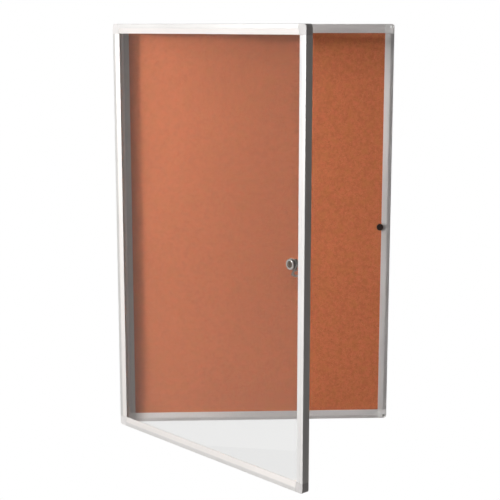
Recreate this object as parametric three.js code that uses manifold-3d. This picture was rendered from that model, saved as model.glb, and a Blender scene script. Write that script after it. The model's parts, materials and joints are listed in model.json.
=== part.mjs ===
// Lockable notice board: an aluminium case with a cork pin surface, and a glazed door hinged on its left side.
// Millimetres. +Z is up, +X is to the right seen from the front, and +Y runs into the wall.
// The origin is the centre of the back face, and the door stands part open.
import * as THREE from "three";
import { mergeVertices } from "three/addons/utils/BufferGeometryUtils.js";
import Module from "manifold-3d";

const wasm = await Module();
wasm.setup();

// Overall sizes
const boardWidth = 600;
const boardHeight = 900;
const caseDepth = 18;
const doorDepth = 17;
const seamDepth = 2.4; // between the case and the closed door, where the hinge leaves lie
const openAngle = 51; // degrees that the door stands open

// Clearances
const seatGap = 0.3; // between pieces that bear on each other
const mitreShift = 0.2; // how far each gasket strip stands off its mitre
const runGap = 0.3; // round a pin, a plug or a screw
const overrun = 1; // how far a cut runs past what it cuts
const weldTolerance = 0.0001;

// Frame extrusions, seen across their length: how far in from the outer edge, how deep from the front
const wall = 1.5;
const frontWall = 2.2;
const rimWidth = 8.5; // flat outer band of the face
const chamberWidth = 8; // hollow that takes the corner pieces' legs
const caseFaceWidth = 19.5;
const caseBevelDrop = 3.5; // how far the inner band of the case slopes back
const doorFaceWidth = 20;
const doorBevelDrop = 3;
const grooveWidth = 0.8; // fine groove between the two bands
const grooveDepth = 0.5;
const edgeRound = 1.2;
const cornerRadius = 6;
const ledgeReach = 5; // glazing ledge inside the door

// Corner pieces and fixing holes
const cornerMargin = 0.5; // how far a corner piece runs past the members' inner edges
const legLength = 24; // how far its legs reach into the members
const legChamfer = 1.5;
const fixingInset = 6.2; // hole centre from both outer edges
const fixingRadius = 2.8;
const fixingSinkRadius = 3.8; // countersink in the face
const fixingSinkDepth = 1;

// Board behind the rim
const corkThickness = 3;
const sheetThickness = 1.2;
const backScrewInset = 5.6;
const backScrewEndX = 120; // outer screws of each rail from the board's sides
const backScrewEndZ = 150; // outer screws of each stile from the board's ends, with one more at the middle

// Pane and its gasket
const paneThickness = 3;
const gasketWall = 0.6;
const gasketWeb = 1;

// Continuous hinge
const hingeEndGap = 20; // hinge ends from the board's ends
const knuckleRadius = 2.8;
const knuckleBore = 1.6;
const pinRadius = 1.25;
const pinStandOff = 3; // pin centre from the outer edge
const pinOverhang = 0.6;
const leafThickness = 0.7;
const leafReach = 8; // inner edge of the leaves from the board's outer edge
const knuckleTab = 1; // how far a leaf reaches into its knuckles
const knuckleCount = 21;
const leafScrewInset = 4.2;
const leafScrewEnd = 50; // outer screws from the hinge's ends
const leafScrewCount = 5;

// Countersunk screws
const screwShankRadius = 1.3;
const screwLength = 6;
const backHeadRadius = 2.6;
const backHeadHeight = 1.1;
const leafHeadRadius = 2.1;
const leafHeadHeight = 0.6;
const recessSpan = 2.4; // cross recess
const recessWidth = 0.5;
const recessDepth = 0.5;

// Lock, on the pane at mid height
const lockInset = 43; // lock centre from the door's free edge
const barrelRadius = 8;
const flangeRim = 2.5; // past the barrel
const flangeThickness = 3;
const flangeRound = 1;
const barrelReach = 9.4; // past the back of the pane
const barrelWall = 2.7; // metal round the plug
const plugLip = 1.2; // past the plug
const plugLipDepth = 0.9;
const keywayWidth = 1.1;
const keywayMargin = 1.8; // metal past each end of the keyway
const keywayDepth = 8;
const washerRim = 3.1; // width of the washer's ring
const washerThickness = 1;
const nutRim = 2.7; // metal between the thread and the flats
const nutThickness = 3.5;
const camThickness = 1.8;
const camHubRadius = 9;
const camRim = 4; // metal outside the slot
const tailShoulder = 2; // how far the flats of the plug's square end lie inside the plug
const camScrewRadius = 1.4;
const camScrewDepth = 7;
const camHeadRadius = 4.2;
const camHeadThickness = 1.4;
const camTrailAngle = 25; // degrees of arm behind the neck
const camLeadAngle = 21; // degrees of arm ahead of it, open at the slot's mouth

// Keeper stud on the case
const keeperInset = 24; // stud centre from the case's outer edge
const keeperHeadRadius = 7.5;
const keeperHeadThickness = 2.4;
const keeperRound = 0.8;
const keeperNeckRadius = 3;
const keeperCollarRadius = 4;
const keeperCollarThickness = 1;
const keeperShankRadius = 2.5;
const keeperNutAcross = 10;
const keeperNutThickness = 3;
const hookGap = 0.6; // between the cam and the stud's head
const slotGap = 0.5; // round the neck in the cam's slot

// Facets
const roundSides = 32;
const smallSides = 12;
const knuckleSides = 12;
const arcSides = 4; // in an edge round, a corner round or an arc of the cam

// Lengths that follow
const cornerSize = Math.max(caseFaceWidth, doorFaceWidth) + cornerMargin;
const hingeLength = boardHeight - 2 * hingeEndGap;

// Planes of depth, the door closed
const caseFront = -caseDepth;
const doorBack = caseFront - seamDepth;
const doorFront = doorBack - doorDepth;
const caseLip = caseBevelDrop + wall;
const doorLip = doorBevelDrop + wall;
const legFront = frontWall + seatGap;
const chamberEdge = wall + chamberWidth;
const channelEdge = chamberEdge + wall;
const caseBackWall = caseDepth - sheetThickness - seatGap; // from the front, where the back sheet bears
const corkFront = caseFront + caseLip + seatGap;
const corkBack = corkFront + corkThickness;
const backingFront = corkBack + seatGap;
const sheetFront = -sheetThickness;
const backingBack = sheetFront - seatGap;
const gasketFront = doorLip + seatGap;
const slotFront = gasketFront + gasketWall;
const slotDepth = paneThickness + seatGap + seatGap;
const gasketBack = slotFront + slotDepth + gasketWall;
const paneFront = doorFront + slotFront + seatGap;
const paneBack = paneFront + paneThickness;
const hingeX = -boardWidth / 2 - pinStandOff;
const hingeY = caseFront - seamDepth / 2;

// Planes and places of the lock
const plugRadius = barrelRadius - barrelWall - runGap;
const plugLipRadius = plugRadius + plugLip;
const keywayHeight = 2 * (plugRadius - keywayMargin);
const tailSize = 2 * (plugRadius - tailShoulder);
const flangeRadius = barrelRadius + flangeRim;
const washerRadius = barrelRadius + runGap + washerRim;
const nutAcross = 2 * (barrelRadius + runGap + nutRim);
const lockX = boardWidth / 2 - lockInset;
const keeperX = boardWidth / 2 - keeperInset;
const hookRadius = lockInset - keeperInset;
const flangeBack = paneFront - seatGap;
const flangeFront = flangeBack - flangeThickness;
const barrelEnd = paneBack + barrelReach;
const camFront = barrelEnd + seatGap;
const camBack = camFront + camThickness;
const keeperHeadBack = camFront - hookGap;

const xAxis = new THREE.Vector3(1, 0, 0);
const yAxis = new THREE.Vector3(0, 1, 0);
const zAxis = new THREE.Vector3(0, 0, 1);
const { degToRad } = THREE.MathUtils;

function finish(color, roughness, metalness) {
  return new THREE.MeshStandardMaterial({ color, roughness, metalness, flatShading: true });
}

const finishes = {
  caseAluminium: () => finish("#c3bfbd", 0.42, 0.9),
  doorAluminium: () => finish("#dedcda", 0.4, 0.9),
  corner: () => finish("#c4c1be", 0.5, 0.1),
  cork: () => finish("#b0633f", 0.95, 0),
  backing: () => finish("#a58a66", 0.95, 0),
  sheet: () => finish("#a9aeb0", 0.5, 0.85),
  steel: () => finish("#b7b7b4", 0.35, 0.95),
  chrome: () => finish("#d8d3cf", 0.15, 1),
  keeper: () => finish("#1d1412", 0.5, 0.2),
  rubber: () => finish("#4a4a4a", 0.9, 0),
  pane() {
    const clear = finish("#eef1f0", 0.08, 0);
    clear.transparent = true;
    clear.opacity = 0.25;
    return clear;
  },
};

// A closed geometry as a solid that can be cut and joined.
function solidOf(geometry) {
  const bare = geometry.clone();
  bare.deleteAttribute("normal");
  bare.deleteAttribute("uv");
  const welded = mergeVertices(bare, weldTolerance);
  return new wasm.Manifold(
    new wasm.Mesh({
      numProp: 3,
      vertProperties: new Float32Array(welded.attributes.position.array),
      triVerts: new Uint32Array(welded.index.array),
    }),
  );
}

function meshOf(name, solid, material) {
  const { vertProperties, triVerts } = solid.getMesh();
  const geometry = new THREE.BufferGeometry();
  geometry.setAttribute("position", new THREE.BufferAttribute(vertProperties, 3));
  geometry.setIndex(new THREE.BufferAttribute(triVerts, 1));
  geometry.computeVertexNormals();
  const mesh = new THREE.Mesh(geometry, material);
  mesh.name = name;
  return mesh;
}

// A box between two corners.
function block(x0, x1, y0, y1, z0, z1) {
  const box = new THREE.BoxGeometry(x1 - x0, y1 - y0, z1 - z0);
  return solidOf(box.translate((x0 + x1) / 2, (y0 + y1) / 2, (z0 + z1) / 2));
}

// A round bar along Y, tapered when its two radii differ.
function rod(frontRadius, backRadius, y0, y1, x, z, sides) {
  const bar = new THREE.CylinderGeometry(backRadius, frontRadius, y1 - y0, sides);
  return solidOf(bar.translate(x, (y0 + y1) / 2, z));
}

// A turned piece about the Y axis, from points of radius and depth.
function turned(points, sides) {
  return solidOf(new THREE.LatheGeometry(points.map(([r, y]) => new THREE.Vector2(r, y)), sides));
}

// A flat outline in X and Z, given its depth from y0 to y1.
function plate(shape, y0, y1) {
  const slab = new THREE.ExtrudeGeometry(shape, { depth: y1 - y0, bevelEnabled: false, curveSegments: arcSides });
  return solidOf(slab.rotateX(Math.PI / 2).translate(0, y1, 0));
}

function polygon(points) {
  return new THREE.Shape(points.map(([x, y]) => new THREE.Vector2(x, y)));
}

// The face, bevel and lip of the members.
function startSection(faceWidth, bevelDrop) {
  const slope = (inward) => (bevelDrop * (inward - rimWidth)) / (faceWidth - rimWidth);
  const lip = bevelDrop + wall;
  const shape = new THREE.Shape();
  shape.absarc(edgeRound, edgeRound, edgeRound, Math.PI, 1.5 * Math.PI);
  shape.lineTo(rimWidth - grooveWidth / 2, 0);
  shape.lineTo(rimWidth, grooveDepth);
  shape.lineTo(rimWidth + grooveWidth / 2, slope(rimWidth + grooveWidth / 2));
  shape.lineTo(faceWidth, bevelDrop);
  shape.lineTo(faceWidth, lip);
  shape.lineTo(faceWidth - wall, lip);
  shape.lineTo(faceWidth - wall, slope(faceWidth - wall) + wall);
  shape.lineTo(channelEdge, slope(channelEdge) + wall);
  return shape;
}

// The same face for the corner pieces, which have no groove and are solid down to the lip.
function startCornerSection(faceWidth, bevelDrop) {
  const lip = bevelDrop + wall;
  const shape = new THREE.Shape();
  shape.absarc(edgeRound, edgeRound, edgeRound, Math.PI, 1.5 * Math.PI);
  shape.lineTo(rimWidth, 0);
  shape.lineTo(faceWidth, bevelDrop);
  shape.lineTo(faceWidth, lip);
  shape.lineTo(channelEdge, lip);
  return shape;
}

function chamberHole(back) {
  return polygon([
    [wall, frontWall],
    [chamberEdge, frontWall],
    [chamberEdge, back],
    [wall, back],
  ]);
}

function caseSection() {
  const shape = startSection(caseFaceWidth, caseBevelDrop);
  shape.lineTo(channelEdge, caseBackWall);
  shape.lineTo(wall, caseBackWall);
  shape.lineTo(wall, caseDepth);
  shape.lineTo(0, caseDepth);
  shape.holes.push(chamberHole(caseBackWall - wall));
  return shape;
}

function caseCornerSection() {
  const shape = startCornerSection(caseFaceWidth, caseBevelDrop);
  shape.lineTo(channelEdge, caseDepth);
  shape.lineTo(0, caseDepth);
  return shape;
}

// The glazing ledge and the back of a door section.
function endDoorSection(shape) {
  const ledgeFront = gasketBack + seatGap;
  shape.lineTo(channelEdge, ledgeFront);
  shape.lineTo(channelEdge + ledgeReach, ledgeFront);
  shape.lineTo(channelEdge + ledgeReach, ledgeFront + wall);
  shape.lineTo(channelEdge, ledgeFront + wall);
  shape.lineTo(channelEdge, doorDepth);
  shape.lineTo(0, doorDepth);
  return shape;
}

function doorSection() {
  const shape = endDoorSection(startSection(doorFaceWidth, doorBevelDrop));
  shape.holes.push(chamberHole(doorDepth - wall));
  return shape;
}

function doorCornerSection() {
  return endDoorSection(startCornerSection(doorFaceWidth, doorBevelDrop));
}

function gasketSection() {
  const outer = channelEdge + seatGap;
  const inner = channelEdge + ledgeReach;
  return polygon([
    [outer, gasketFront],
    [inner, gasketFront],
    [inner, slotFront],
    [outer + gasketWeb, slotFront],
    [outer + gasketWeb, slotFront + slotDepth],
    [inner, slotFront + slotDepth],
    [inner, gasketBack],
    [outer, gasketBack],
  ]);
}

// A bar along X. Its outer edge is at z = 0 and its face at y = 0.
function bar(section, length) {
  const geometry = new THREE.ExtrudeGeometry(section, {
    depth: length,
    bevelEnabled: false,
    curveSegments: arcSides / 2,
  });
  geometry.applyMatrix4(new THREE.Matrix4().makeBasis(zAxis, yAxis, xAxis.clone().negate()));
  return solidOf(geometry.translate(length / 2, 0, 0));
}

// A gasket strip along one side, mitred at both ends.
function gasketStrip(length) {
  const reach = doorFaceWidth;
  const outline = polygon([
    [-length / 2, 0],
    [length / 2, 0],
    [length / 2 - reach, reach],
    [reach - length / 2, reach],
  ]);
  const mitre = plate(outline, -overrun, doorDepth + overrun).translate([0, 0, -mitreShift]);
  return bar(gasketSection(), length).intersect(mitre);
}

// The four sides of a frame: how each member is turned, how long it is and where its outer edge lies.
function frameSides() {
  const halfWidth = boardWidth / 2;
  const halfHeight = boardHeight / 2;
  return [
    { side: "bottom", turn: 0, length: boardWidth, x: 0, z: -halfHeight },
    { side: "left", turn: Math.PI / 2, length: boardHeight, x: -halfWidth, z: 0 },
    { side: "top", turn: Math.PI, length: boardWidth, x: 0, z: halfHeight },
    { side: "right", turn: -Math.PI / 2, length: boardHeight, x: halfWidth, z: 0 },
  ];
}

function frameCorners() {
  const halfWidth = boardWidth / 2;
  const halfHeight = boardHeight / 2;
  return [
    { corner: "bottom_left", turn: 0, x: -halfWidth, z: -halfHeight },
    { corner: "top_left", turn: Math.PI / 2, x: -halfWidth, z: halfHeight },
    { corner: "top_right", turn: Math.PI, x: halfWidth, z: halfHeight },
    { corner: "bottom_right", turn: -Math.PI / 2, x: halfWidth, z: -halfHeight },
  ];
}

function placed(mesh, place, y) {
  mesh.position.set(place.x, y, place.z);
  mesh.rotation.y = place.turn;
  return mesh;
}

// Places of the back screws along each side, and of the leaf screws along the hinge.
const railScrew = boardWidth / 2 - backScrewEndX;
const stileScrew = boardHeight / 2 - backScrewEndZ;
const backScrewPlaces = {
  bottom: [-railScrew, railScrew],
  top: [-railScrew, railScrew],
  left: [-stileScrew, 0, stileScrew],
  right: [-stileScrew, 0, stileScrew],
};
const leafScrewReach = hingeLength / 2 - leafScrewEnd;
const leafScrewPlaces = Array.from(
  { length: leafScrewCount },
  (_, i) => leafScrewReach * ((2 * i) / (leafScrewCount - 1) - 1),
);

function fixingCut(x, z, depth) {
  const hole = rod(fixingRadius, fixingRadius, -overrun, depth + overrun, x, z, smallSides);
  return hole.add(rod(fixingSinkRadius, fixingRadius, 0, fixingSinkDepth, x, z, smallSides));
}

function caseMember(place) {
  let member = bar(caseSection(), place.length - 2 * (cornerSize + seatGap));
  const holeRadius = screwShankRadius + runGap;
  for (const along of backScrewPlaces[place.side]) {
    const hole = [caseBackWall - wall - overrun, caseBackWall + overrun];
    member = member.subtract(rod(holeRadius, holeRadius, ...hole, along, backScrewInset, smallSides));
  }
  if (place.side === "left") {
    for (const along of leafScrewPlaces) {
      const hole = [-overrun, frontWall + overrun];
      member = member.subtract(rod(holeRadius, holeRadius, ...hole, along, leafScrewInset, smallSides));
    }
  }
  return member;
}

function doorMember(place) {
  let member = bar(doorSection(), place.length - 2 * (cornerSize + seatGap));
  if (place.side === "left") {
    const holeRadius = screwShankRadius + runGap;
    for (const along of leafScrewPlaces) {
      const hole = [doorDepth - wall - overrun, doorDepth + overrun];
      member = member.subtract(rod(holeRadius, holeRadius, ...hole, along, leafScrewInset, smallSides));
    }
  }
  return member;
}

// A corner piece carries the section round the corner in one moulding. Its legs fill the chambers of the
// two members that meet there. The board's corner is at x = 0 and z = 0.
function cornerPiece(section, depth, legBack) {
  const arm = bar(section, cornerSize);
  const across = arm.rotate([0, 90, 0]).translate([0, 0, cornerSize / 2]);
  const reach = cornerSize + overrun;
  const outline = new THREE.Shape();
  outline.absarc(cornerRadius, cornerRadius, cornerRadius, Math.PI, 1.5 * Math.PI);
  outline.lineTo(reach, 0);
  outline.lineTo(reach, reach);
  outline.lineTo(0, reach);
  return arm
    .translate([cornerSize / 2, 0, 0])
    .add(across)
    .intersect(plate(outline, -overrun, depth + overrun))
    .add(cornerLegs(legBack));
}

function cornerLegs(legBack) {
  const outer = wall + seatGap;
  const inner = chamberEdge - seatGap;
  const tip = cornerSize + legLength;
  const shape = polygon([
    [outer, outer],
    [tip - legChamfer, outer],
    [tip, outer + legChamfer],
    [tip, inner - legChamfer],
    [tip - legChamfer, inner],
    [inner, inner],
    [inner, tip - legChamfer],
    [inner - legChamfer, tip],
    [outer + legChamfer, tip],
    [outer, tip - legChamfer],
  ]);
  const elbow = outer + cornerRadius;
  const legs = plate(shape, legFront, legBack);
  return legs.subtract(block(outer - overrun, elbow, legFront - overrun, legBack + overrun, outer - overrun, elbow));
}

// The case's corner pieces are recessed for the back sheet and drilled for the wall screws.
function caseCorner() {
  const reach = cornerSize + overrun;
  const recess = new THREE.Shape();
  recess.absarc(cornerRadius, cornerRadius, cornerRadius - wall, Math.PI, 1.5 * Math.PI);
  recess.lineTo(reach, wall);
  recess.lineTo(reach, reach);
  recess.lineTo(wall, reach);
  return cornerPiece(caseCornerSection(), caseDepth, caseBackWall - wall - seatGap)
    .subtract(plate(recess, caseBackWall, caseDepth + overrun))
    .subtract(fixingCut(fixingInset, fixingInset, caseDepth));
}

// A countersunk screw along Y with its head at y = 0 and a cross recess.
function countersunkScrew(headRadius, headHeight) {
  const arm = recessSpan / 2;
  const half = recessWidth / 2;
  return rod(headRadius, screwShankRadius, 0, headHeight, 0, 0, smallSides)
    .add(rod(screwShankRadius, screwShankRadius, 0, screwLength, 0, 0, smallSides))
    .subtract(block(-arm, arm, -overrun, recessDepth, -half, half))
    .subtract(block(-half, half, -overrun, recessDepth, -arm, arm));
}

function screwAt(name, headRadius, headHeight, x, y, z, backwards) {
  const screw = meshOf(name, countersunkScrew(headRadius, headHeight), finishes.steel());
  screw.position.set(x, y, z);
  if (backwards) {
    screw.rotation.z = Math.PI;
  }
  return screw;
}

// Where a point along a side and inward from its edge lies on the board.
function onSide(place, along, inward) {
  const x = along * Math.cos(place.turn) + inward * Math.sin(place.turn);
  const z = inward * Math.cos(place.turn) - along * Math.sin(place.turn);
  return [place.x + x, place.z + z];
}

function backSheet() {
  const halfX = boardWidth / 2 - wall - seatGap;
  const halfZ = boardHeight / 2 - wall - seatGap;
  const holeRadius = screwShankRadius + runGap;
  const sinkRadius = backHeadRadius + runGap;
  const radius = cornerRadius - wall - seatGap;
  const outline = new THREE.Shape();
  outline.absarc(radius - halfX, radius - halfZ, radius, Math.PI, 1.5 * Math.PI);
  outline.absarc(halfX - radius, radius - halfZ, radius, 1.5 * Math.PI, 2 * Math.PI);
  outline.absarc(halfX - radius, halfZ - radius, radius, 0, 0.5 * Math.PI);
  outline.absarc(radius - halfX, halfZ - radius, radius, 0.5 * Math.PI, Math.PI);
  let sheet = plate(outline, sheetFront, 0);
  for (const place of frameSides()) {
    for (const along of backScrewPlaces[place.side]) {
      const [x, z] = onSide(place, along, backScrewInset);
      const hole = rod(holeRadius, holeRadius, sheetFront - overrun, overrun, x, z, smallSides);
      const sink = rod(holeRadius, sinkRadius, sheetFront, 0, x, z, smallSides);
      sheet = sheet.subtract(hole.add(sink));
    }
  }
  for (const { x, z } of frameCorners()) {
    const holeX = x - Math.sign(x) * fixingInset;
    const holeZ = z - Math.sign(z) * fixingInset;
    const hole = rod(fixingRadius, fixingRadius, sheetFront - overrun, overrun, holeX, holeZ, smallSides);
    sheet = sheet.subtract(hole);
  }
  return sheet;
}

// A layer of the board, drilled for the keeper's shank.
function boardLayer(front, back) {
  const halfX = boardWidth / 2 - channelEdge - seatGap;
  const halfZ = boardHeight / 2 - channelEdge - seatGap;
  const holeRadius = keeperShankRadius + runGap;
  const layer = block(-halfX, halfX, front, back, -halfZ, halfZ);
  return layer.subtract(rod(holeRadius, holeRadius, front - overrun, back + overrun, keeperX, 0, smallSides));
}

function backingBoard() {
  const pocketRadius = keeperNutAcross / Math.sqrt(3) + runGap;
  const pocketFront = backingBack - keeperNutThickness - seatGap;
  const pocket = rod(pocketRadius, pocketRadius, pocketFront, backingBack + overrun, keeperX, 0, roundSides);
  return boardLayer(backingFront, backingBack).subtract(pocket);
}

function keeperStud() {
  const headFront = keeperHeadBack - keeperHeadThickness;
  const collarBack = corkFront - seatGap;
  const collarFront = collarBack - keeperCollarThickness;
  return turned(
    [
      [0, headFront],
      [keeperHeadRadius - keeperRound, headFront],
      [keeperHeadRadius, headFront + keeperRound],
      [keeperHeadRadius, keeperHeadBack],
      [keeperNeckRadius, keeperHeadBack],
      [keeperNeckRadius, collarFront],
      [keeperCollarRadius, collarFront],
      [keeperCollarRadius, collarBack],
      [keeperShankRadius, collarBack],
      [keeperShankRadius, backingBack],
      [0, backingBack],
    ],
    roundSides,
  ).translate([keeperX, 0, 0]);
}

// A six-sided nut along Y, round a shank of the given radius.
function hexNut(across, shankRadius, y0, y1) {
  const boreRadius = shankRadius + runGap;
  const bore = rod(boreRadius, boreRadius, y0 - overrun, y1 + overrun, 0, 0, smallSides);
  return rod(across / Math.sqrt(3), across / Math.sqrt(3), y0, y1, 0, 0, 6).subtract(bore);
}

// One hinge leaf with every second knuckle. It lies on the plane y0 to y1, and its pin is on the Z axis.
function hingeLeaf(firstKnuckle, y0, y1, headSide) {
  const pitch = hingeLength / knuckleCount;
  const knuckleLength = pitch - runGap;
  const inner = pinStandOff + leafReach;
  const outer = knuckleRadius + runGap;
  const half = hingeLength / 2;
  const ring = new THREE.Shape().absarc(0, 0, knuckleRadius, 0, 2 * Math.PI);
  ring.holes.push(new THREE.Path().absarc(0, 0, knuckleBore, 0, 2 * Math.PI));
  const tube = new THREE.ExtrudeGeometry(ring, {
    depth: knuckleLength,
    bevelEnabled: false,
    curveSegments: knuckleSides / 2,
  });
  const knuckle = solidOf(tube.translate(0, 0, -knuckleLength / 2));
  let leaf = block(outer, inner, y0, y1, -half, half);
  for (let i = firstKnuckle; i < knuckleCount; i += 2) {
    const middle = (i - (knuckleCount - 1) / 2) * pitch;
    const reach = [knuckleRadius - knuckleTab, outer + overrun];
    const tab = block(...reach, y0, y1, middle - knuckleLength / 2, middle + knuckleLength / 2);
    leaf = leaf.add(knuckle.translate([0, 0, middle])).add(tab);
  }
  const holeRadius = screwShankRadius + runGap;
  const sinkRadius = leafHeadRadius + runGap;
  const [frontRadius, backRadius] = headSide < 0 ? [sinkRadius, holeRadius] : [holeRadius, sinkRadius];
  for (const along of leafScrewPlaces) {
    const x = pinStandOff + leafScrewInset;
    const hole = rod(holeRadius, holeRadius, y0 - overrun, y1 + overrun, x, along, smallSides);
    leaf = leaf.subtract(hole).subtract(rod(frontRadius, backRadius, y0, y1, x, along, smallSides));
  }
  return leaf;
}

function hingePin() {
  const length = hingeLength + 2 * pinOverhang;
  return solidOf(new THREE.CylinderGeometry(pinRadius, pinRadius, length, smallSides).rotateX(Math.PI / 2));
}

function pane() {
  const inset = channelEdge + seatGap + gasketWeb + seatGap;
  const halfX = boardWidth / 2 - inset;
  const halfZ = boardHeight / 2 - inset;
  const holeRadius = barrelRadius + runGap;
  const hole = rod(holeRadius, holeRadius, paneFront - overrun, paneBack + overrun, lockX, 0, roundSides);
  return block(-halfX, halfX, paneFront, paneBack, -halfZ, halfZ).subtract(hole);
}

// The lock's pieces are drawn about its own axis, with their real depths.
function lockHousing() {
  const bore = plugRadius + runGap;
  const mouth = plugLipRadius + runGap;
  const mouthBack = flangeFront + plugLipDepth + runGap;
  return turned(
    [
      [bore, mouthBack],
      [mouth, mouthBack],
      [mouth, flangeFront],
      [flangeRadius - flangeRound, flangeFront],
      [flangeRadius, flangeFront + flangeRound],
      [flangeRadius, flangeBack],
      [barrelRadius, flangeBack],
      [barrelRadius, barrelEnd],
      [bore, barrelEnd],
      [bore, mouthBack],
    ],
    roundSides,
  );
}

function lockWasher() {
  const bore = barrelRadius + runGap;
  const front = paneBack + seatGap;
  const back = front + washerThickness;
  const hole = rod(bore, bore, front - overrun, back + overrun, 0, 0, roundSides);
  return rod(washerRadius, washerRadius, front, back, 0, 0, roundSides).subtract(hole);
}

function lockNut() {
  const front = paneBack + seatGap + washerThickness + seatGap;
  return hexNut(nutAcross, barrelRadius, front, front + nutThickness);
}

function lockPlug() {
  const half = tailSize / 2;
  const boreRadius = camScrewRadius + runGap;
  const keyHalf = keywayWidth / 2;
  const keyReach = keywayHeight / 2;
  const body = turned(
    [
      [0, flangeFront],
      [plugLipRadius, flangeFront],
      [plugLipRadius, flangeFront + plugLipDepth],
      [plugRadius, flangeFront + plugLipDepth],
      [plugRadius, barrelEnd],
      [0, barrelEnd],
    ],
    roundSides,
  );
  return body
    .add(block(-half, half, barrelEnd - overrun, camBack, -half, half))
    .subtract(rod(boreRadius, boreRadius, camBack - camScrewDepth, camBack + overrun, 0, 0, smallSides))
    .subtract(block(-keyHalf, keyHalf, flangeFront - overrun, flangeFront + keywayDepth, -keyReach, keyReach));
}

// A hooked cam. Its arm points down, and its slot opens towards the free side so that a quarter turn
// carries the slot round the neck of the keeper.
function lockCam() {
  const slotHalf = keeperNeckRadius + slotGap;
  const outer = hookRadius + slotHalf + camRim;
  const start = degToRad(-90 - camTrailAngle);
  const middle = degToRad(-90);
  const mouth = degToRad(-90 + camLeadAngle);
  const pastMouth = degToRad(-90 + 2 * camLeadAngle);
  const arm = new THREE.Shape();
  arm.absarc(0, 0, outer, start, mouth);
  arm.lineTo(0, 0);
  const slot = new THREE.Shape();
  slot.absarc(0, 0, hookRadius + slotHalf, middle, pastMouth);
  slot.absarc(0, 0, hookRadius - slotHalf, pastMouth, middle, true);
  const end = rod(slotHalf, slotHalf, camFront - overrun, camBack + overrun, 0, -hookRadius, smallSides);
  const eye = tailSize / 2 + runGap;
  return plate(arm, camFront, camBack)
    .add(rod(camHubRadius, camHubRadius, camFront, camBack, 0, 0, roundSides))
    .subtract(plate(slot, camFront - overrun, camBack + overrun))
    .subtract(end)
    .subtract(block(-eye, eye, camFront - overrun, camBack + overrun, -eye, eye));
}

function camScrew() {
  const headFront = camBack + seatGap;
  const headBack = headFront + camHeadThickness;
  const arm = recessSpan / 2;
  const half = recessWidth / 2;
  return rod(camHeadRadius, camHeadRadius, headFront, headBack, 0, 0, roundSides)
    .add(rod(camScrewRadius, camScrewRadius, camBack - camScrewDepth + runGap, headBack, 0, 0, smallSides))
    .subtract(block(-arm, arm, headBack - recessDepth, headBack + overrun, -half, half))
    .subtract(block(-half, half, headBack - recessDepth, headBack + overrun, -arm, arm));
}

const memberNames = { bottom: "rail_bottom", left: "stile_hinge", top: "rail_top", right: "stile_free" };

function makeCase() {
  const group = new THREE.Group();
  for (const place of frameSides()) {
    const name = "case_" + memberNames[place.side];
    group.add(placed(meshOf(name, caseMember(place), finishes.caseAluminium()), place, caseFront));
  }
  for (const place of frameCorners()) {
    group.add(placed(meshOf("case_corner_" + place.corner, caseCorner(), finishes.corner()), place, caseFront));
  }
  group.add(meshOf("cork_sheet", boardLayer(corkFront, corkBack), finishes.cork()));
  group.add(meshOf("backing_board", backingBoard(), finishes.backing()));
  group.add(meshOf("back_sheet", backSheet(), finishes.sheet()));
  let count = 0;
  for (const place of frameSides()) {
    for (const along of backScrewPlaces[place.side]) {
      const [x, z] = onSide(place, along, backScrewInset);
      count += 1;
      group.add(screwAt("back_screw_" + count, backHeadRadius, backHeadHeight, x, 0, z, true));
    }
  }
  group.add(meshOf("keeper_stud", keeperStud(), finishes.keeper()));
  const nutFront = backingBack - keeperNutThickness;
  const nut = hexNut(keeperNutAcross, keeperShankRadius, nutFront, backingBack);
  group.add(meshOf("keeper_nut", nut.translate([keeperX, 0, 0]), finishes.steel()));
  return group;
}

function makeFixedHinge() {
  const group = new THREE.Group();
  group.position.set(hingeX, hingeY, 0);
  const back = seamDepth / 2 - seatGap;
  const leaf = hingeLeaf(0, back - leafThickness, back, -1);
  group.add(meshOf("hinge_fixed_leaf", leaf, finishes.doorAluminium()));
  group.add(meshOf("hinge_pin", hingePin(), finishes.steel()));
  leafScrewPlaces.forEach((along, i) => {
    const x = pinStandOff + leafScrewInset;
    const name = "case_hinge_screw_" + (i + 1);
    group.add(screwAt(name, leafHeadRadius, leafHeadHeight, x, back - leafThickness, along, false));
  });
  return group;
}

function makeMovingHinge() {
  const group = new THREE.Group();
  group.position.set(hingeX, hingeY, 0);
  const front = seatGap - seamDepth / 2;
  const leaf = hingeLeaf(1, front, front + leafThickness, 1);
  group.add(meshOf("hinge_moving_leaf", leaf, finishes.doorAluminium()));
  leafScrewPlaces.forEach((along, i) => {
    const x = pinStandOff + leafScrewInset;
    const name = "door_hinge_screw_" + (i + 1);
    group.add(screwAt(name, leafHeadRadius, leafHeadHeight, x, front + leafThickness, along, true));
  });
  return group;
}

function makeLock() {
  const group = new THREE.Group();
  group.position.set(lockX, 0, 0);
  group.add(meshOf("lock_housing", lockHousing(), finishes.chrome()));
  group.add(meshOf("lock_washer", lockWasher(), finishes.rubber()));
  group.add(meshOf("lock_nut", lockNut(), finishes.steel()));
  group.add(meshOf("lock_plug", lockPlug(), finishes.chrome()));
  group.add(meshOf("lock_cam", lockCam(), finishes.steel()));
  group.add(meshOf("lock_cam_screw", camScrew(), finishes.steel()));
  return group;
}

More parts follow.
